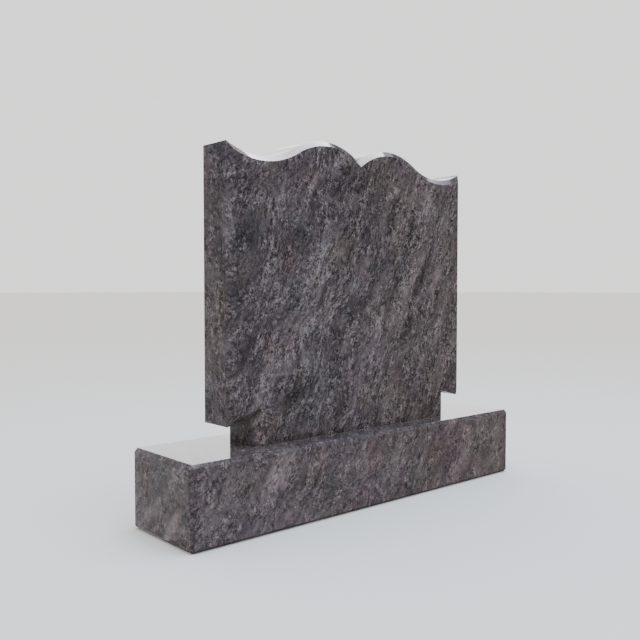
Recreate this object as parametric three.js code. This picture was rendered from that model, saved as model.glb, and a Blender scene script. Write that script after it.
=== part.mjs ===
// A polished granite headstone with a double wave top, standing on a plain granite base.
// Millimetres. +Z is up, the face kept for the inscription looks toward -Y, and the origin
// is the middle of the base's underside.

import * as THREE from 'three';
import { ConvexGeometry } from 'three/addons/geometries/ConvexGeometry.js';

// Base: a sawn block with every edge chamfered.
const BASE_WIDTH = 762;
const BASE_DEPTH = 170.5;
const BASE_HEIGHT = 128.5;
const BASE_CHAMFER = 5.5;

// Headstone: a slab of one thickness. Its heights start at the base's top.
const STONE_WIDTH = 560;
const STONE_THICKNESS = 73;
const SHOULDER_HEIGHT = 477.5;
const FRONT_CHAMFER = 9.5;

// How far the headstone's face stands behind the base's front.
const FRONT_MARGIN = 46;

// Wave top: from the centre, a notch, a round crest, a dip and the upswept shoulder.
const CREST_RISE = 22;
const DIP_DEPTH = 16.5;
const NOTCH_DEPTH = 24.5;

// Foot: each side of the slab is cut back above the base and leaves an ear hanging over it.
const EAR_OVERHANG = 48.5;
const EAR_CLEARANCE = 35;
const EAR_RISE = 13;

// Steps along each arc of the wave.
const ARC_STEPS = 24;

const GRANITE_COLOUR = 0x5b5458;
const GRANITE_ROUGHNESS = 0.22;

const halfStone = STONE_WIDTH / 2;
const halfFoot = halfStone - EAR_OVERHANG;
const crestHeight = SHOULDER_HEIGHT + CREST_RISE;
const dipHeight = SHOULDER_HEIGHT - DIP_DEPTH;

/** Horizontal reach of an arc of the given radius over a rise or fall. */
function reach(radius, rise) {
  return Math.sqrt(rise * (2 * radius - rise));
}

/**
 * The one radius that every arc of the wave has. From the notch the crest's arc rises to the
 * crest, two arcs of like radius fall to the dip as an S, and the dip's arc rises to the
 * shoulder. Their reaches add up to half the slab's width, which sets the radius.
 */
function waveRadius() {
  const fall = CREST_RISE + DIP_DEPTH;
  let low = Math.max(NOTCH_DEPTH, DIP_DEPTH, fall / 2);
  let high = halfStone * halfStone;
  for (let step = 0; step < 60; step += 1) {
    const radius = (low + high) / 2;
    const width = reach(radius, NOTCH_DEPTH) + 2 * reach(radius, fall / 2) + reach(radius, DIP_DEPTH);
    if (width > halfStone) {
      high = radius;
    } else {
      low = radius;
    }
  }
  return (low + high) / 2;
}

const radius = waveRadius();
const crestCentre = new THREE.Vector2(reach(radius, NOTCH_DEPTH), crestHeight - radius);
const dipCentre = new THREE.Vector2(halfStone - reach(radius, DIP_DEPTH), dipHeight + radius);

/** Points of an arc about a centre, from one point of it to another. */
function arcPoints(centre, from, to, clockwise) {
  const start = Math.atan2(from.y - centre.y, from.x - centre.x);
  const end = Math.atan2(to.y - centre.y, to.x - centre.x);
  const arc = new THREE.EllipseCurve(
    centre.x, centre.y, from.distanceTo(centre), from.distanceTo(centre), start, end, clockwise,
  );
  return arc.getPoints(ARC_STEPS);
}

/** Right half of the wave, from the notch to the shoulder, moved into the slab by an inset. */
function wavePoints(inset) {
  const crestRadius = radius - inset;
  const dipRadius = radius + inset;
  const notchDrop = Math.sqrt(crestRadius ** 2 - crestCentre.x ** 2);
  const shoulderX = halfStone - inset;
  const shoulderDrop = Math.sqrt(dipRadius ** 2 - (shoulderX - dipCentre.x) ** 2);
  const notch = new THREE.Vector2(0, crestCentre.y + notchDrop);
  const turn = crestCentre.clone().lerp(dipCentre, crestRadius / (crestRadius + dipRadius));
  const shoulder = new THREE.Vector2(shoulderX, dipCentre.y - shoulderDrop);
  const crest = arcPoints(crestCentre, notch, turn, true);
  const dip = arcPoints(dipCentre, turn, shoulder, false);
  return [...crest, ...dip.slice(1)];
}

/**
 * Closed outline of the slab seen from the front, counter-clockwise, moved into the slab by
 * an inset everywhere but along the foot's underside, which keeps its place on the base.
 */
function slabOutline(inset) {
  const slope = EAR_RISE / EAR_OVERHANG;
  const lift = inset * (slope + Math.hypot(1, slope));
  const footX = halfFoot - inset;
  const earX = halfStone - inset;
  const right = [
    new THREE.Vector2(footX, 0),
    new THREE.Vector2(footX, EAR_CLEARANCE + EAR_RISE + lift),
    new THREE.Vector2(earX, EAR_CLEARANCE + lift),
    ...wavePoints(inset).reverse(),
  ];
  const left = right.slice(0, -1).reverse().map((point) => new THREE.Vector2(-point.x, point.y));
  return [...right, ...left];
}

/**
 * Closed solid through outlines with the same number of points, each at its own depth.
 * The first is the face toward -Y and the last is the back.
 */
function solidThrough(sections) {
  const count = sections[0].outline.length;
  const positions = sections.flatMap(({ outline, depth }) => outline.flatMap(({ x, y }) => [x, depth, y]));
  const indices = [];
  for (let section = 0; section < sections.length - 1; section += 1) {
    for (let i = 0; i < count; i += 1) {
      const a = section * count + i;
      const b = section * count + ((i + 1) % count);
      indices.push(a, a + count, b, b, a + count, b + count);
    }
  }
  const backStart = (sections.length - 1) * count;
  for (const [a, b, c] of THREE.ShapeUtils.triangulateShape(sections[0].outline, [])) {
    indices.push(a, b, c);
  }
  for (const [a, b, c] of THREE.ShapeUtils.triangulateShape(sections.at(-1).outline, [])) {
    indices.push(backStart + a, backStart + c, backStart + b);
  }
  const geometry = new THREE.BufferGeometry();
  geometry.setAttribute('position', new THREE.Float32BufferAttribute(positions, 3));
  geometry.setIndex(indices);
  geometry.computeVertexNormals();
  return geometry;
}

/** The headstone: a slab with a chamfer round its face and a square back edge. */
function headstoneGeometry() {
  const face = FRONT_MARGIN - BASE_DEPTH / 2;
  return solidThrough([
    { outline: slabOutline(FRONT_CHAMFER), depth: face },
    { outline: slabOutline(0), depth: face + FRONT_CHAMFER },
    { outline: slabOutline(0), depth: face + STONE_THICKNESS },
  ]);
}

/** The base: a block whose twelve edges are chamfered, as the hull of its faces' corners. */
function baseGeometry() {
  const half = new THREE.Vector3(BASE_WIDTH, BASE_DEPTH, BASE_HEIGHT).divideScalar(2);
  const corners = [];
  for (const side of [-1, 1]) {
    for (const end of [-1, 1]) {
      for (const level of [-1, 1]) {
        for (const axis of ['x', 'y', 'z']) {
          const corner = half.clone().subScalar(BASE_CHAMFER);
          corner[axis] += BASE_CHAMFER;
          corners.push(corner.multiply(new THREE.Vector3(side, end, level)));
        }
      }
    }
  }
  return new ConvexGeometry(corners).translate(0, 0, half.z);
}

/** A named piece of polished granite. */
function granitePiece(name, geometry) {
  const granite = new THREE.MeshStandardMaterial({
    color: GRANITE_COLOUR,
    roughness: GRANITE_ROUGHNESS,
    metalness: 0,
  });
  const piece = new THREE.Mesh(geometry, granite);
  piece.name = name;
  return piece;
}

const memorial = new THREE.Group();
memorial.add(granitePiece('base', baseGeometry()));
const headstone = granitePiece('headstone', headstoneGeometry());
headstone.position.z = BASE_HEIGHT;
memorial.add(headstone);

export default memorial;
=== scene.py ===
"""A polished granite headstone with a double wave top, on a granite base with chamfered edges.

Metres, +Z up, the face kept for the inscription toward -Y, and the origin in the middle of
the base's underside.
"""

import logging
import math
from dataclasses import dataclass
from enum import Enum
from typing import Any

import bmesh
import bpy
from mathutils import Matrix, Vector


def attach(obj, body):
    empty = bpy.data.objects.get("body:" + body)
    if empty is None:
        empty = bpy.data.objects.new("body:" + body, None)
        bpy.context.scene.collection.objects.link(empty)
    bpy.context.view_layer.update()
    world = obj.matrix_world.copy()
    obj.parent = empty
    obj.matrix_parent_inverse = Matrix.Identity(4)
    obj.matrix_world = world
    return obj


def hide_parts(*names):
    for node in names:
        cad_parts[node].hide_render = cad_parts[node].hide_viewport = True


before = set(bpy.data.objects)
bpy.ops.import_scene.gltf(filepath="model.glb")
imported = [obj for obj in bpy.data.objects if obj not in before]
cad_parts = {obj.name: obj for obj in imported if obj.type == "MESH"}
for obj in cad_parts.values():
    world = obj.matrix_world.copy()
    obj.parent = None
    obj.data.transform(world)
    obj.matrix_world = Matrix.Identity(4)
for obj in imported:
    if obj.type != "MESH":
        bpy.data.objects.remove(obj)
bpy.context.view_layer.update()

MM = 0.001
UP = Vector((0.0, 0.0, 1.0))
THROUGH = Vector((0.0, 1.0, 0.0))

# Vertices nearer than this are the same one.
TOUCHING = 1e-6

# Every noise, and the tone of the stone, lies about this value.
MIDDLE = 0.5

# Sockets that the Mix node has for colours.
MIX_INPUTS = (6, 7)
MIX_OUTPUT = 2

log = logging.getLogger("headstone")

Triple = tuple[float, float, float]
Span = tuple[float, float]
Colour = Triple
Shape = bmesh.types.BMesh
Vert = bmesh.types.BMVert
Edge = bmesh.types.BMEdge


class Part(Enum):
    """The two stones of the memorial, by the names of their CAD nodes."""

    BASE = "base"
    HEADSTONE = "headstone"

    @property
    def slot(self) -> str:
        """Material slot of the record that the stone's finish belongs to."""
        return f"{self.value}_granite"


class Wire:
    """A value that runs through a shader's nodes and takes part in Python arithmetic."""

    def __init__(self, tree: bpy.types.NodeTree, socket: bpy.types.NodeSocket) -> None:
        """Wraps an output socket of a node tree."""
        self.tree = tree
        self.socket = socket

    def maths(self, operation: str, *values: "Wire | float") -> "Wire":
        """Adds a Math node.

        Args:
            operation: The node's operation.
            values: Its inputs in order, wires or numbers.

        Returns:
            The node's result.
        """
        node = self.tree.nodes.new("ShaderNodeMath")
        node.operation = operation
        for socket, value in zip(node.inputs, values):
            if isinstance(value, Wire):
                self.tree.links.new(value.socket, socket)
            else:
                socket.default_value = value
        return Wire(self.tree, node.outputs[0])

    def __add__(self, other: "Wire | float") -> "Wire":
        """Sum."""
        return self.maths("ADD", self, other)

    def __radd__(self, other: float) -> "Wire":
        """Sum with the number first."""
        return self.maths("ADD", other, self)

    def __sub__(self, other: "Wire | float") -> "Wire":
        """Difference."""
        return self.maths("SUBTRACT", self, other)

    def __rsub__(self, other: float) -> "Wire":
        """Difference with the number first."""
        return self.maths("SUBTRACT", other, self)

    def __mul__(self, other: "Wire | float") -> "Wire":
        """Product."""
        return self.maths("MULTIPLY", self, other)

    def __rmul__(self, other: float) -> "Wire":
        """Product with the number first."""
        return self.maths("MULTIPLY", other, self)

    def at_least(self, other: "Wire | float") -> "Wire":
        """The larger of two values."""
        return self.maths("MAXIMUM", self, other)


class Bench:
    """Adds nodes to one shader tree."""

    def __init__(self, tree: bpy.types.NodeTree) -> None:
        """Starts from an empty tree."""
        self.tree = tree
        tree.nodes.clear()

    def node(
        self,
        kind: str,
        settings: dict[str, Any] | None = None,
        sockets: dict[str | int, Any] | None = None,
        output: str | int = 0,
    ) -> Wire | None:
        """Adds a node of any kind.

        Args:
            kind: The node's type.
            settings: Its properties, set first. The entry "stops" fills a colour ramp.
            sockets: Values or wires of its inputs, by name or number.
            output: The output that is wanted, by name or number.

        Returns:
            That output as a wire, or nothing for a node that ends the tree.
        """
        node = self.tree.nodes.new(kind)
        for name, value in (settings or {}).items():
            if name == "stops":
                self._fill_ramp(node.color_ramp, value)
            else:
                setattr(node, name, value)
        for key, value in (sockets or {}).items():
            if isinstance(value, Wire):
                self.tree.links.new(value.socket, node.inputs[key])
            else:
                node.inputs[key].default_value = value
        return Wire(self.tree, node.outputs[output]) if node.outputs else None

    @staticmethod
    def _fill_ramp(ramp: bpy.types.ColorRamp, stops: list[tuple[float, Colour]]) -> None:
        """Gives a colour ramp its stops, in order of place."""
        while len(ramp.elements) < len(stops):
            ramp.elements.new(1.0)
        for element, (place, colour) in zip(ramp.elements, stops):
            element.position = place
            element.color = (*colour, 1.0)

    def ease(self, value: Wire, low: float, high: float) -> Wire:
        """Smooth step of a value from 0 at one limit to 1 at the other."""
        return self.node(
            "ShaderNodeMapRange",
            {"interpolation_type": "SMOOTHSTEP"},
            {"Value": value, "From Min": low, "From Max": high},
        )

    def vector(self, operation: str, first: Wire, second: Wire | Triple, output: int = 0) -> Wire:
        """Adds a Vector Math node.

        Args:
            operation: The node's operation.
            first: Its first input.
            second: Its second input.
            output: 0 for a result that is a vector, and 1 for a number.

        Returns:
            The node's result.
        """
        return self.node(
            "ShaderNodeVectorMath", {"operation": operation}, {0: first, 1: second}, output
        )

    def channel(self, colour: Wire, which: int) -> Wire:
        """Takes one channel of a colour as a number."""
        return self.node("ShaderNodeSeparateColor", {}, {"Color": colour}, which)

    def coordinate(self, place: Wire, which: int) -> Wire:
        """Takes one coordinate of a place as a number."""
        return self.node("ShaderNodeSeparateXYZ", {}, {"Vector": place}, which)

    def mix(
        self,
        factor: Wire | float,
        first: Wire | Colour,
        second: Wire | Colour,
        blend: str,
    ) -> Wire:
        """Mixes two colours.

        Args:
            factor: Share of the second colour.
            first: Colour at a factor of 0.
            second: Colour at a factor of 1.
            blend: The Mix node's blend type.

        Returns:
            The mixed colour.
        """
        inputs = {0: factor}
        for socket, colour in zip(MIX_INPUTS, (first, second)):
            inputs[socket] = colour if isinstance(colour, Wire) else (*colour, 1.0)
        return self.node(
            "ShaderNodeMix",
            {"data_type": "RGBA", "blend_type": blend, "clamp_factor": True},
            inputs,
            output=MIX_OUTPUT,
        )


def new_paint(name: str) -> tuple[bpy.types.Material, Bench]:
    """Makes a material without nodes.

    Args:
        name: Its name.

    Returns:
        The material and the bench of its tree.
    """
    paint = bpy.data.materials.new(name)
    paint.use_nodes = True
    return paint, Bench(paint.node_tree)


def mesh_of(shape: Shape, name: str) -> bpy.types.Mesh:
    """Writes a finished shape to a mesh of its own.

    Args:
        shape: The shape, which is freed.
        name: The mesh's name.

    Returns:
        The mesh.
    """
    data = bpy.data.meshes.new(name)
    shape.to_mesh(data)
    shape.free()
    return data


def put_in_scene(name: str, data: bpy.types.ID) -> bpy.types.Object:
    """Makes an object and links it to the scene.

    Args:
        name: The object's name.
        data: Its mesh, camera or lamp.

    Returns:
        The object.
    """
    made = bpy.data.objects.new(name, data)
    bpy.context.scene.collection.objects.link(made)
    return made


class Side(Enum):
    """The sides that clouds in the granite and bands of painted shade are placed on, by their
    turn about the upright.
    """

    FRONT = 0.0
    LEFT = -90.0


@dataclass(frozen=True)
class Drift:
    """A broad paler or darker cloud in the granite, drawn out along its grain, or a dark band of
    painted shade.

    The centre is a place on the side, along it and up, in the object's millimetres, and the
    lean is the angle of the cloud's long axis above the horizontal, as seen on that side. The
    depth is where the cloud's middle lies through the stone, and how far it reaches there.
    """

    centre: Span
    reach: Span
    lean: float
    strength: float
    side: Side = Side.FRONT
    depth: Span = (0.0, 1000.0)

    def nearness(self, bench: Bench, place: Wire) -> Wire:
        """Falls from 1 in the middle of the cloud to 0 at its edge.

        Args:
            bench: The tree's bench.
            place: Object coordinates.

        Returns:
            The nearness.
        """
        along, up = self.centre
        through, reach_through = self.depth
        middle = (along, through, up) if self.side is Side.FRONT else (through, along, up)
        local = bench.node(
            "ShaderNodeMapping",
            {"vector_type": "TEXTURE"},
            {
                "Vector": place,
                "Location": Vector(middle) * MM,
                "Rotation": (0.0, -math.radians(self.lean), math.radians(self.side.value)),
                "Scale": Vector((*self.reach, reach_through)).xzy * MM,
            },
        )
        distance = bench.vector("DOT_PRODUCT", local, local, output=1)
        return 1.0 - bench.ease(distance, 0.0, 1.0)


# Clouds of the two stones, and dark bands of painted shade: centre, reach, lean and strength,
# then the side and the depth.
SLAB_DRIFTS = (
    Drift((-153.0, 532.0), (85.0, 34.0), 40.0, 0.16),
    Drift((-93.0, 425.0), (70.0, 40.0), 50.0, 0.14),
    Drift((-168.0, 280.0), (135.0, 30.0), 50.0, 0.15),
    Drift((62.0, 315.0), (130.0, 32.0), 46.0, 0.14),
    Drift((122.0, 385.0), (45.0, 28.0), 60.0, 0.08),
    Drift((197.0, 385.0), (110.0, 24.0), 63.0, 0.12),
    Drift((162.0, 535.0), (60.0, 40.0), 60.0, 0.12),
    Drift((12.0, 385.0), (45.0, 28.0), 30.0, 0.12),
    Drift((-30.0, 300.0), (60.0, 22.0), 60.0, 0.10),
    Drift((-145.0, 455.0), (60.0, 28.0), 30.0, -0.15),
    Drift((-223.0, 470.0), (70.0, 40.0), 50.0, -0.12),
    Drift((-40.0, 556.0), (70.0, 30.0), 10.0, -0.14),
    Drift((-3.0, 345.0), (100.0, 20.0), 55.0, -0.13),
    Drift((122.0, 302.0), (80.0, 24.0), 45.0, -0.14),
    Drift((160.0, 398.0), (85.0, 15.0), 60.0, -0.13),
    Drift((-148.0, 212.0), (60.0, 24.0), 15.0, -0.14),
    Drift((-256.0, 350.0), (290.0, 22.0), 90.0, -0.07),
    Drift((262.0, 545.0), (60.0, 30.0), 70.0, -0.09),
    Drift((-5.0, 545.0), (70.0, 60.0), 90.0, -0.13, Side.LEFT, (-280.0, 40.0)),
    Drift((-30.0, 507.0), (130.0, 22.0), 90.0, 0.16, Side.LEFT, (-280.0, 16.0)),
    Drift((-26.0, 350.0), (60.0, 18.0), 90.0, -0.12, Side.LEFT, (-280.0, 16.0)),
    Drift((-16.0, 258.0), (55.0, 12.0), 90.0, 0.14, Side.LEFT, (-282.0, 8.0)),
    # Painted shade: a dark band along the bottom of the left foot, where it meets the base.
    Drift((-165.0, 130.0), (100.0, 9.0), 0.0, -0.14),
)
BASE_DRIFTS = (
    Drift((-224.0, 81.0), (95.0, 30.0), 35.0, 0.16),
    Drift((-334.0, 45.0), (50.0, 26.0), 40.0, 0.10),
    Drift((-139.0, 58.0), (60.0, 34.0), 30.0, -0.12),
    Drift((51.0, 66.0), (60.0, 20.0), 58.0, 0.12),
    Drift((70.0, 24.0), (40.0, 18.0), 20.0, -0.10),
    Drift((176.0, 54.0), (60.0, 30.0), 40.0, -0.08),
    Drift((236.0, 46.0), (60.0, 24.0), 50.0, 0.10),
    Drift((326.0, 88.0), (60.0, 30.0), 40.0, 0.10),
    # Painted shade: darker along the base's front-left upright edge and its chamfer, standing in
    # for the darker reflection there.
    Drift((-380.0, 60.0), (90.0, 16.0), 90.0, -0.14, Side.FRONT, (-84.0, 26.0)),
    Drift((-34.0, 30.0), (52.0, 13.0), 48.0, 0.26, Side.LEFT, (-381.0, 60.0)),
    Drift((20.0, 44.0), (66.0, 13.0), 42.0, 0.15, Side.LEFT, (-381.0, 60.0)),
    Drift((-62.0, 52.0), (36.0, 14.0), 60.0, -0.12, Side.LEFT, (-381.0, 60.0)),
    Drift((0.0, 14.0), (46.0, 10.0), 38.0, -0.20, Side.LEFT, (-381.0, 60.0)),
    Drift((-30.0, 84.0), (60.0, 13.0), 50.0, 0.14, Side.LEFT, (-381.0, 60.0)),
    Drift((12.0, 78.0), (56.0, 12.0), 46.0, -0.12, Side.LEFT, (-381.0, 60.0)),
    # Painted shade: a dark band all round the bottom edge of the base, where it meets the floor.
    Drift((0.0, 0.0), (4000.0, 7.0), 0.0, -0.34),
)


@dataclass(frozen=True)
class Mottle:
    """One noise in the granite, drawn out along its veins.

    The rate is in cycles a metre: along the veins, down their sheets and across them. The
    crispness is how much each finer octave counts, and the weight how much the noise does.
    """

    rate: Triple
    crispness: float
    weight: float
    octaves: float = 2.0

    def noise(self, bench: Bench, veined: Wire) -> Wire:
        """Adds the noise.

        Args:
            bench: The tree's bench.
            veined: Place in the frame of the veins.

        Returns:
            The noise, about 0.5.
        """
        return bench.node(
            "ShaderNodeTexNoise",
            {},
            {
                "Vector": bench.vector("MULTIPLY", veined, self.rate),
                "Scale": 1.0,
                "Detail": self.octaves,
                "Roughness": self.crispness,
            },
        )


@dataclass(frozen=True)
class PolishedGranite:
    """Dark lilac-grey granite with slanting veins, polished in front and honed at the back.

    The values given here are the headstone's. The base's block has its own where they differ.
    Tones run from 0 at the darkest mineral to 1 at the palest, and lie about 0.5. The back is
    the place of the stone's back, as its Y.
    """

    part: Part
    back: float
    drifts: tuple[Drift, ...]
    offset: Triple = (0.0, 0.0, 0.0)

    # Run of the veins, and how they wander.
    vein_rise: Triple = (0.454, 0.0, 0.891)
    vein_fall: Triple = (0.0, -0.82, -0.57)
    sway_rate: float = 9.0
    sway_octaves: float = 2.0
    sway: Triple = (0.04, 0.04, 0.05)

    # Broad and fine pattern, and how it gets livelier and calmer from place to place.
    clouds: Mottle = Mottle((6.0, 9.0, 26.0), 0.50, 0.42)
    blotches: Mottle = Mottle((18.0, 19.0, 70.0), 0.55, 0.8)
    flakes: Mottle = Mottle((95.0, 110.0, 180.0), 0.60, 1.15)
    grain: Mottle = Mottle((390.0, 400.0, 480.0), 0.60, 1.05)
    crystal_rate: Triple = (160.0, 180.0, 270.0)
    crystal_weight: float = 0.26
    speck_weight: float = 0.42
    liveliness: Mottle = Mottle((34.0, 38.0, 60.0), 0.50, 0.85)
    lively_limits: Span = (0.36, 0.64)
    calm: float = 0.52
    contrast: float = 1.0

    # Colour.
    tones: tuple[tuple[float, Colour], ...] = (
        (0.00, (0.0160, 0.0150, 0.0170)),
        (0.24, (0.0320, 0.0278, 0.0312)),
        (0.50, (0.0652, 0.0551, 0.0611)),
        (0.76, (0.1195, 0.1025, 0.1120)),
        (1.00, (0.1920, 0.1680, 0.1810)),
    )
    lightness: float = 0.965
    tint: Colour = (1.010, 1.0, 0.968)
    hue_rate: float = 14.0
    hue_octaves: float = 4.0
    hue_swing: float = 1.0
    cool_limits: Span = (0.50, 0.66)
    rust_limits: Span = (0.52, 0.68)
    green_tint: Colour = (0.94, 1.00, 1.00)
    plum_tint: Colour = (1.03, 0.98, 1.05)
    rust_tint: Colour = (1.05, 1.00, 0.92)
    warmth: float = 0.9
    warm_end: Span = (-0.20, 0.30)

    # Polish, with the dark mica a little duller, and the slight relief of the crystals.
    gloss: float = 0.085
    mica_dulling: float = 0.05
    mica_tone: float = 0.6
    honed: float = 0.34
    honed_limits: Span = (-0.6 * MM, -0.1 * MM)
    refraction: float = 1.5
    relief: float = 0.06
    relief_depth: float = 0.4 * MM
    grain_relief: float = 0.5

    def material(self) -> bpy.types.Material:
        """Builds the finish.

        Returns:
            The material, which reads Object coordinates alone.
        """
        stone, bench = new_paint(self.part.slot)
        place = bench.node("ShaderNodeTexCoord", output="Object")
        veined = self._along_veins(bench, place)
        flakes = self.flakes.noise(bench, veined)
        grain = self.grain.noise(bench, veined)
        broad = self._broad(bench, veined) + self._drift(bench, place)
        fine = self._fine(bench, veined, flakes, grain)
        tone = MIDDLE + self.contrast * (broad + fine)
        normal = bench.node(
            "ShaderNodeBump",
            {},
            {
                "Strength": self.relief,
                "Distance": self.relief_depth,
                "Height": flakes + self.grain_relief * grain,
            },
        )
        shader = bench.node(
            "ShaderNodeBsdfPrincipled",
            {"distribution": "MULTI_GGX"},
            {
                "Base Color": self._colour(bench, place, tone),
                "Roughness": self._roughness(bench, place, tone),
                "IOR": self.refraction,
                "Normal": normal,
            },
        )
        bench.node("ShaderNodeOutputMaterial", {}, {"Surface": shader})
        return stone

    def _along_veins(self, bench: Bench, place: Wire) -> Wire:
        """Turns a place into the frame of the veins, bent a little so that they wander.

        Args:
            bench: The tree's bench.
            place: Object coordinates.

        Returns:
            The place with its third coordinate across the sheets of the grain.
        """
        rise = Vector(self.vein_rise).normalized()
        fall = Vector(self.vein_fall).normalized()
        across = rise.cross(fall).normalized()
        turn = Matrix((rise, across.cross(rise), across)).to_euler()
        turned = bench.node(
            "ShaderNodeMapping",
            {},
            {"Vector": place, "Location": self.offset, "Rotation": turn},
        )
        wander = bench.node(
            "ShaderNodeTexNoise",
            {},
            {"Vector": turned, "Scale": self.sway_rate, "Detail": self.sway_octaves},
            output="Color",
        )
        centred = bench.vector("SUBTRACT", wander, (MIDDLE, MIDDLE, MIDDLE))
        return bench.vector("ADD", turned, bench.vector("MULTIPLY", centred, self.sway))

    def _broad(self, bench: Bench, veined: Wire) -> Wire:
        """Adds the clouds and blotches that run all through the stone.

        Args:
            bench: The tree's bench.
            veined: Place in the frame of the veins.

        Returns:
            What they add to the tone.
        """
        clouds = self.clouds.noise(bench, veined)
        blotches = self.blotches.noise(bench, veined)
        return self.clouds.weight * (clouds - MIDDLE) + self.blotches.weight * (blotches - MIDDLE)

    def _drift(self, bench: Bench, place: Wire) -> Wire:
        """Adds the clouds that have a place of their own, and the bands of painted shade.

        Args:
            bench: The tree's bench.
            place: Object coordinates.

        Returns:
            What they add to the tone.
        """
        total = bench.node("ShaderNodeValue") * 0.0
        for drift in self.drifts:
            total = total + drift.strength * drift.nearness(bench, place)
        return total

    def _fine(self, bench: Bench, veined: Wire, flakes: Wire, grain: Wire) -> Wire:
        """Adds flakes, grain and crystals, livelier in some places than in others.

        Args:
            bench: The tree's bench.
            veined: Place in the frame of the veins.
            flakes: Noise of the flakes.
            grain: Noise of the grain.

        Returns:
            What they add to the tone.
        """
        fine = self.flakes.weight * (flakes - MIDDLE) + self.grain.weight * (grain - MIDDLE)
        fine = fine + self.crystal_weight * self._crystals(bench, veined, self.crystal_rate)
        fine = fine + self.speck_weight * self._crystals(bench, veined, self.grain.rate)
        lively = bench.ease(self.liveliness.noise(bench, veined), *self.lively_limits)
        return (self.calm + self.liveliness.weight * lively) * fine

    @staticmethod
    def _crystals(bench: Bench, veined: Wire, rate: Triple) -> Wire:
        """Tone of the single crystals, each even and with a crisp edge.

        Args:
            bench: The tree's bench.
            veined: Place in the frame of the veins.
            rate: Crystals a metre along the three axes.

        Returns:
            A tone for each crystal, from -0.5 to 0.5.
        """
        drawn = bench.vector("MULTIPLY", veined, rate)
        cell = bench.node(
            "ShaderNodeTexVoronoi", {}, {"Vector": drawn, "Scale": 1.0}, output="Color"
        )
        return bench.channel(cell, 0) - MIDDLE

    def _colour(self, bench: Bench, place: Wire, tone: Wire) -> Wire:
        """Colour of the granite from its tone, with slow drifts of hue.

        Args:
            bench: The tree's bench.
            place: Object coordinates.
            tone: Tone of the granite.

        Returns:
            The base colour.
        """
        plain = bench.node("ShaderNodeValToRGB", {"stops": list(self.tones)}, {"Fac": tone})
        hue = bench.node(
            "ShaderNodeTexNoise",
            {},
            {"Vector": place, "Scale": self.hue_rate, "Detail": self.hue_octaves},
            output="Color",
        )
        green = self.hue_swing * bench.ease(bench.channel(hue, 0), *self.cool_limits)
        plum = self.hue_swing * bench.ease(bench.channel(hue, 1), *self.cool_limits)
        rust = self.hue_swing * bench.ease(bench.channel(hue, 2), *self.rust_limits)
        rightward = bench.ease(bench.coordinate(place, 0), *self.warm_end)
        warm = rust + self.warmth * rightward
        tinted = bench.mix(green, plain, self.green_tint, "MULTIPLY")
        tinted = bench.mix(plum, tinted, self.plum_tint, "MULTIPLY")
        tinted = bench.mix(warm, tinted, self.rust_tint, "MULTIPLY")
        level = tuple(self.lightness * channel for channel in self.tint)
        return bench.mix(1.0, tinted, level, "MULTIPLY")

    def _roughness(self, bench: Bench, place: Wire, tone: Wire) -> Wire:
        """Gloss of the faces, a little duller on the dark mica and honed on the back.

        Args:
            bench: The tree's bench.
            place: Object coordinates.
            tone: Tone of the granite.

        Returns:
            The roughness.
        """
        before, at_back = self.honed_limits
        depth = bench.coordinate(place, 1)
        behind = bench.ease(depth, self.back + before, self.back + at_back)
        dulling = self.mica_dulling * (self.mica_tone - tone).at_least(0.0)
        return self.gloss + dulling + (self.honed - self.gloss) * behind


@dataclass(frozen=True)
class Finisher:
    """Turns a cut stone into a finished piece, with its sharp edges eased."""

    arris: float = 0.5 * MM
    arris_steps: int = 3
    sharp_from: float = math.radians(25.0)

    def piece(self, shape: Shape, granite: PolishedGranite) -> bpy.types.Object:
        """Makes the object that stands for the CAD node.

        Args:
            shape: The cut stone, in its place.
            granite: Its finish.

        Returns:
            The finished object, at the origin.
        """
        part = granite.part
        bmesh.ops.recalc_face_normals(shape, faces=shape.faces)
        for face in shape.faces:
            face.smooth = True
        name = f"{part.value}_stone"
        stone = put_in_scene(name, mesh_of(shape, name))
        stone.data.materials.append(granite.material())
        eased = stone.modifiers.new("eased_arris", "BEVEL")
        eased.width = self.arris
        eased.segments = self.arris_steps
        eased.limit_method = "ANGLE"
        eased.angle_limit = self.sharp_from
        eased.use_clamp_overlap = False
        eased.miter_outer = "MITER_SHARP"
        flat = stone.modifiers.new("flat_faces", "WEIGHTED_NORMAL")
        flat.keep_sharp = False
        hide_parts(part.value)
        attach(stone, "root")
        return stone


@dataclass(frozen=True)
class BaseBlock:
    """The sawn and polished block that the headstone stands on."""

    width: float = 762 * MM
    depth: float = 170.5 * MM
    height: float = 128.5 * MM
    chamfer: float = 5.5 * MM

    def build(self) -> Shape:
        """Cuts the block and chamfers its twelve edges.

        Returns:
            The block, standing on the ground.
        """
        block = bmesh.new()
        bmesh.ops.create_cube(block, size=1.0)
        bmesh.ops.scale(block, vec=(self.width, self.depth, self.height), verts=block.verts)
        bmesh.ops.translate(block, vec=UP * self.height / 2, verts=block.verts)
        bmesh.ops.bevel(
            block,
            geom=list(block.edges),
            offset=self.chamfer,
            offset_type="OFFSET",
            affect="EDGES",
            segments=1,
            profile=0.5,
            material=-1,
        )
        return block

    def granite(self) -> PolishedGranite:
        """Granite of the block, paler, calmer and warmer than the headstone's."""
        return PolishedGranite(
            part=Part.BASE,
            back=self.depth / 2.0,
            drifts=BASE_DRIFTS,
            offset=(0.31, 0.12, 0.07),
            vein_rise=(0.56, 0.0, 0.83),
            vein_fall=(0.0, -0.75, 0.66),
            flakes=Mottle((108.0, 86.0, 162.0), 0.60, 1.15),
            grain=Mottle((410.0, 420.0, 460.0), 0.60, 1.05),
            crystal_rate=(180.0, 190.0, 240.0),
            contrast=0.78,
            lightness=1.12,
            tint=(1.028, 1.0, 0.957),
            hue_swing=1.2,
            warmth=1.1,
            warm_end=(-0.28, 0.38),
        )

    def dress(self, block: Shape) -> bpy.types.Object:
        """Finishes the block in its granite."""
        return Finisher().piece(block, self.granite())


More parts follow.
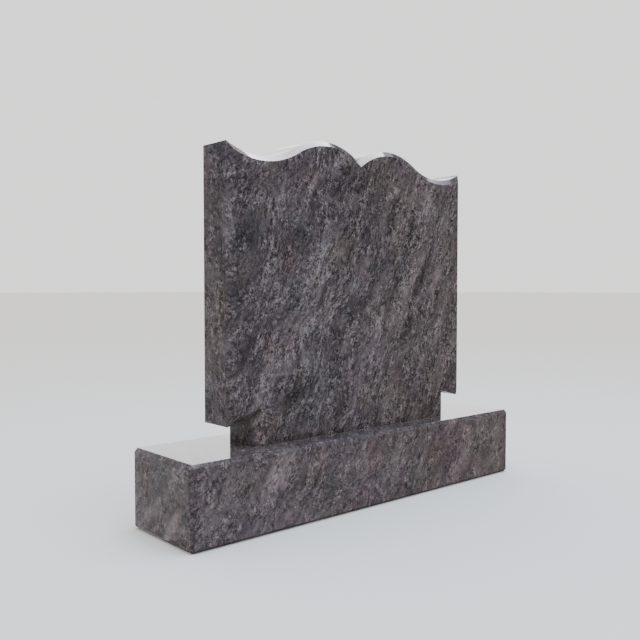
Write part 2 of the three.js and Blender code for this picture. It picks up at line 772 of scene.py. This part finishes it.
@dataclass(frozen=True)
class WaveSlab:
    """The upright slab: a foot between two ears below, and a double wave along its top.

    Heights start at the bed, and the margin is how far the face stands behind the base's front.
    """

    base: BaseBlock
    width: float = 560 * MM
    thickness: float = 73 * MM
    shoulder: float = 477.5 * MM
    chamfer: float = 9.5 * MM
    crest_rise: float = 22 * MM
    dip_depth: float = 16.5 * MM
    notch_depth: float = 24.5 * MM
    ear_overhang: float = 48.5 * MM
    ear_clearance: float = 35 * MM
    ear_rise: float = 13 * MM
    margin: float = 46 * MM
    arc_steps: int = 40
    radius_halvings: int = 60

    @property
    def face(self) -> float:
        """Place of the slab's face, as its Y."""
        return self.margin - self.base.depth / 2.0

    @property
    def bed(self) -> float:
        """Height of the bed that the slab stands on, which is the top of the base."""
        return self.base.height

    @staticmethod
    def _reach(radius: float, rise: float) -> float:
        """Horizontal reach of an arc over a rise."""
        return math.sqrt(rise * (2.0 * radius - rise))

    def _wave_radius(self) -> float:
        """The one radius of all arcs, with which their reaches fill half the slab's width."""
        fall = self.crest_rise + self.dip_depth
        low = max(self.notch_depth, self.dip_depth, fall / 2.0)
        high = self.width
        for _ in range(self.radius_halvings):
            middle = (low + high) / 2.0
            reaches = self._reach(middle, self.notch_depth) + self._reach(middle, self.dip_depth)
            if reaches + 2.0 * self._reach(middle, fall / 2.0) > self.width / 2.0:
                high = middle
            else:
                low = middle
        return (low + high) / 2.0

    def _spin(self, slab: Shape, end: Vert, centre: Vector, angle: float) -> Vert:
        """Draws an arc on from the end of the outline.

        Args:
            slab: The shape.
            end: Last vertex of the outline so far.
            centre: Centre of the arc.
            angle: Turn about +Y, in radians.

        Returns:
            The new last vertex.
        """
        made = bmesh.ops.spin(
            slab, geom=[end], cent=centre, axis=THROUGH, angle=angle, steps=self.arc_steps
        )
        return next(item for item in made["geom_last"] if isinstance(item, Vert))

    @staticmethod
    def _line(slab: Shape, end: Vert, x: float, z: float) -> Vert:
        """Draws a straight line on from the end of the outline.

        Args:
            slab: The shape.
            end: Last vertex of the outline so far.
            x: Where the line ends, across.
            z: Where the line ends, above the ground.

        Returns:
            The new last vertex.
        """
        made = bmesh.ops.extrude_vert_indiv(slab, verts=[end])["verts"][0]
        made.co = Vector((x, end.co.y, z))
        return made

    def _draw_wave(self, slab: Shape, inset: float, depth: float) -> Vert:
        """Draws the right half of the wave, from the notch to the shoulder.

        Args:
            slab: The shape.
            inset: How far the wave is moved into the stone.
            depth: Where the outline's plane crosses the Y axis.

        Returns:
            The vertex at the shoulder.
        """
        radius = self._wave_radius()
        crest_top = self.bed + self.shoulder + self.crest_rise
        dip_low = self.bed + self.shoulder - self.dip_depth
        notch_reach = self._reach(radius, self.notch_depth)
        dip_reach = self._reach(radius, self.dip_depth)
        crest_centre = Vector((notch_reach, depth, crest_top - radius))
        dip_centre = Vector((self.width / 2.0 - dip_reach, depth, dip_low + radius))
        between = dip_centre - crest_centre
        turn = math.atan2(between.x, between.z)
        notch_angle = math.asin(notch_reach / (radius - inset))
        shoulder_angle = math.asin((dip_reach - inset) / (radius + inset))
        notch_top = crest_centre.z + math.cos(notch_angle) * (radius - inset)
        end = slab.verts.new((0.0, depth, notch_top))
        end = self._spin(slab, end, crest_centre, notch_angle + turn)
        return self._spin(slab, end, dip_centre, -turn - shoulder_angle)

    def _outline(self, slab: Shape, inset: float, depth: float) -> list[Edge]:
        """Draws the closed outline, moved inward everywhere but along the foot's underside.

        Args:
            slab: The shape.
            inset: How far the outline is moved inward.
            depth: Where the outline's plane crosses the Y axis.

        Returns:
            The outline's edges.
        """
        before = set(slab.verts)
        half = self.width / 2.0
        slope = self.ear_rise / self.ear_overhang
        ear = self.bed + self.ear_clearance + inset * (slope + math.hypot(1.0, slope))
        foot = half - self.ear_overhang - inset
        end = self._draw_wave(slab, inset, depth)
        end = self._line(slab, end, half - inset, ear)
        end = self._line(slab, end, foot, ear + self.ear_rise)
        end = self._line(slab, end, foot, self.bed)
        self._line(slab, end, 0.0, self.bed)
        drawn = [v for v in slab.verts if v not in before]
        lines = [e for e in slab.edges if e.verts[0] not in before]
        bmesh.ops.mirror(slab, geom=drawn + lines, axis="X", merge_dist=TOUCHING)
        added = [v for v in slab.verts if v not in before]
        underside = [v for v in added if abs(v.co.x) < TOUCHING and v.co.z < ear]
        bmesh.ops.dissolve_verts(slab, verts=underside)
        return [e for e in slab.edges if e.verts[0] not in before]

    def build(self) -> Shape:
        """Cuts the slab: a chamfer from the face to the full outline, then square to the back.

        Returns:
            The slab, standing on the base.
        """
        slab = bmesh.new()
        front = self._outline(slab, self.chamfer, self.face)
        rim = self._outline(slab, 0.0, self.face + self.chamfer)
        bmesh.ops.bridge_loops(slab, edges=front + rim)
        cut = bmesh.ops.extrude_edge_only(slab, edges=rim)["geom"]
        moved = [item for item in cut if isinstance(item, Vert)]
        back = [item for item in cut if isinstance(item, Edge)]
        bmesh.ops.translate(slab, vec=THROUGH * (self.thickness - self.chamfer), verts=moved)
        bmesh.ops.contextual_create(slab, geom=front)
        bmesh.ops.contextual_create(slab, geom=back)
        return slab

    def granite(self) -> PolishedGranite:
        """Granite of the slab."""
        return PolishedGranite(
            part=Part.HEADSTONE,
            back=self.face + self.thickness,
            drifts=SLAB_DRIFTS,
        )

    def dress(self, slab: Shape) -> bpy.types.Object:
        """Finishes the slab in its granite."""
        return Finisher().piece(slab, self.granite())


@dataclass(frozen=True)
class Viewpoint:
    """The camera, in millimetres and degrees. How far it sees is in metres."""

    place: Triple = (-951.9, -1008.4, 381.0)
    turn: float = 41.424
    down: float = 2.447
    lens: float = 43.062
    sensor: float = 36.0
    sight: float = 200.0

    def set_up(self) -> None:
        """Puts the camera where the photograph was taken from."""
        data = bpy.data.cameras.new("viewpoint")
        data.lens = self.lens
        data.sensor_width = self.sensor
        data.sensor_fit = "HORIZONTAL"
        data.clip_end = self.sight
        camera = put_in_scene("viewpoint", data)
        camera.location = Vector(self.place) * MM
        camera.rotation_euler = (math.radians(90.0 - self.down), 0.0, math.radians(-self.turn))
        bpy.context.scene.camera = camera


class Glow(Enum):
    """How bright each kind of studio card is, as its radiance."""

    DARK = 0.12
    GREY = 0.25
    SLATE = 0.4
    PALE = 3.0
    BRIGHT = 17.0


class Stance(Enum):
    """How a studio card is set: facing the stone, or lying just over the floor."""

    FACING = "facing"
    LYING = "lying"


@dataclass(frozen=True)
class Card:
    """A studio card that shows in the stone's polish alone.

    One that faces the stone is an oval, and one that lies on the floor has square corners. The
    bearing is in degrees from +X toward +Y, and the rise in degrees above the horizon, both
    from the middle of the stone. The clearance is how far a card that lies down is off the
    floor. Sizes are in metres.
    """

    name: str
    stance: Stance
    bearing: float
    rise: float
    distance: float
    width: float
    height: float
    glow: Glow
    colour: Colour = (1.0, 1.0, 1.0)
    middle: float = 0.35
    clearance: float = 0.002
    rim_steps: int = 64

    def _setting(self) -> Matrix:
        """Where the card's middle is, and how the card is turned."""
        bearing = math.radians(self.bearing)
        rise = math.radians(self.rise)
        level = Vector((math.cos(bearing), math.sin(bearing), 0.0))
        if self.stance is Stance.LYING:
            centre = level * self.distance + UP * self.clearance
            turn = Matrix.Rotation(bearing - math.pi / 2.0, 4, "Z")
        else:
            way = level * math.cos(rise) + UP * math.sin(rise)
            centre = way * self.distance + UP * self.middle
            turn = way.to_track_quat("Z", "Y").to_matrix().to_4x4()
        return Matrix.Translation(centre) @ turn

    def _cut(self) -> bpy.types.Mesh:
        """Cuts the card to its outline, in its place."""
        sheet = bmesh.new()
        if self.stance is Stance.LYING:
            bmesh.ops.create_grid(sheet, x_segments=1, y_segments=1, size=0.5)
        else:
            bmesh.ops.create_circle(sheet, cap_ends=True, segments=self.rim_steps, radius=0.5)
        bmesh.ops.scale(sheet, vec=(self.width, self.height, 1.0), verts=sheet.verts)
        bmesh.ops.transform(sheet, matrix=self._setting(), verts=sheet.verts)
        return mesh_of(sheet, self.name)

    def stand(self) -> None:
        """Sets the card up."""
        card = put_in_scene(self.name, self._cut())
        paint, bench = new_paint(self.name)
        light = bench.node(
            "ShaderNodeEmission",
            {},
            {"Color": (*self.colour, 1.0), "Strength": self.glow.value},
        )
        bench.node("ShaderNodeOutputMaterial", {}, {"Surface": light})
        card.data.materials.append(paint)
        card.visible_camera = False
        card.visible_diffuse = False
        card.visible_shadow = False


# Stance, bearing, rise, distance, width, height and glow, then the colour of a tinted card.
CARDS = (
    Card("front_card", Stance.FACING, -49.0, 4.0, 4.0, 7.0, 3.2, Glow.DARK),
    Card("front_mat", Stance.LYING, -49.0, 0.0, 2.6, 6.0, 5.4, Glow.DARK),
    Card("side_card", Stance.FACING, 131.0, 4.0, 4.0, 5.0, 3.2, Glow.GREY),
    Card("side_mat", Stance.LYING, 131.0, 0.0, 2.7, 3.6, 3.6, Glow.GREY),
    Card("side_mat_near", Stance.LYING, 131.0, 0.0, 0.75, 1.8, 1.0, Glow.SLATE),
    Card("contact_mat", Stance.LYING, 90.0, 0.0, 0.0, 0.84, 0.25, Glow.DARK, clearance=0.0003),
    Card("near_mat", Stance.LYING, -146.0, 0.0, 1.5, 2.4, 2.8, Glow.DARK, clearance=0.001),
    Card("edge_card", Stance.FACING, -17.0, 44.0, 3.0, 2.2, 2.5, Glow.DARK, (0.3, 0.8, 1.1)),
    Card("end_card", Stance.FACING, 111.7, 24.2, 3.0, 2.0, 1.6, Glow.SLATE),
    Card("near_card", Stance.FACING, -131.0, 4.0, 3.0, 2.2, 3.0, Glow.GREY, (0.7, 1.1, 1.5)),
    Card("back_card", Stance.FACING, 52.0, 16.0, 3.2, 3.2, 2.2, Glow.PALE),
    Card("right_card", Stance.FACING, 18.0, 29.0, 2.7, 1.35, 1.6, Glow.DARK),
    Card("top_card", Stance.FACING, 28.0, 76.0, 2.4, 2.45, 2.45, Glow.BRIGHT, (0.98, 0.97, 1.03)),
    Card("shoulder_card", Stance.FACING, -18.9, 55.7, 2.34, 0.70, 0.50, Glow.DARK),
    Card("band_card", Stance.FACING, 8.6, 31.9, 1.71, 0.41, 0.72, Glow.PALE, (0.72, 0.70, 0.65)),
    Card("dip_card", Stance.FACING, 1.6, 48.1, 2.62, 0.9, 0.9, Glow.PALE, (0.60, 0.57, 0.73)),
)


@dataclass(frozen=True)
class Studio:
    """Plain pale floor, plain pale surroundings, and cards that the polish mirrors.

    Sizes and places are in metres, and the lamp's aim is a height over the origin.
    """

    floor_radius: float = 60.0
    floor_steps: int = 96
    floor_colour: Colour = (0.815, 0.80, 0.785)
    floor_roughness: float = 0.8
    surroundings: Colour = (1.52, 1.515, 1.50)
    lamp_place: Triple = (0.15, -0.42, 2.4)
    lamp_aim: float = 0.15
    lamp_size: float = 1.3
    lamp_power: float = 28.0
    lamp_colour: Colour = (0.58, 0.92, 1.36)

    def set_up(self) -> None:
        """Lays the floor, lights the surroundings, stands the cards up and hangs the lamp."""
        self._floor()
        self._surroundings()
        for card in CARDS:
            card.stand()
        self._overhead()

    def _overhead(self) -> None:
        """Hangs a large soft lamp over the stone, a little in front of it."""
        data = bpy.data.lights.new("overhead", "AREA")
        data.shape = "DISK"
        data.size = self.lamp_size
        data.energy = self.lamp_power
        data.color = self.lamp_colour
        lamp = put_in_scene("overhead", data)
        way = UP * self.lamp_aim - Vector(self.lamp_place)
        lamp.location = self.lamp_place
        lamp.rotation_euler = way.to_track_quat("-Z", "Y").to_euler()
        lamp.visible_glossy = False

    def _floor(self) -> None:
        """Lays a wide round floor."""
        ground = bmesh.new()
        bmesh.ops.create_circle(
            ground, cap_ends=True, segments=self.floor_steps, radius=self.floor_radius
        )
        floor = put_in_scene("floor", mesh_of(ground, "floor"))
        paint, bench = new_paint("floor_paint")
        shader = bench.node(
            "ShaderNodeBsdfPrincipled",
            {},
            {
                "Base Color": (*self.floor_colour, 1.0),
                "Roughness": self.floor_roughness,
                "Specular IOR Level": 0.0,
            },
        )
        bench.node("ShaderNodeOutputMaterial", {}, {"Surface": shader})
        floor.data.materials.append(paint)

    def _surroundings(self) -> None:
        """Gives the surroundings one pale, even light."""
        world = bpy.data.worlds.new("studio")
        world.use_nodes = True
        bpy.context.scene.world = world
        bench = Bench(world.node_tree)
        light = bench.node(
            "ShaderNodeBackground",
            {},
            {"Color": (*self.surroundings, 1.0), "Strength": 1.0},
        )
        bench.node("ShaderNodeOutputWorld", {}, {"Surface": light})


def main() -> None:
    """Builds the memorial and its studio, and reports each piece."""
    logging.basicConfig(level=logging.INFO, format="%(name)s: %(message)s")
    Viewpoint().set_up()
    Studio().set_up()
    base = BaseBlock()
    for stone in (base, WaveSlab(base)):
        piece = stone.dress(stone.build())
        log.info("%s: %d faces", piece.name, len(piece.data.polygons))


if __name__ == "__main__":
    main()
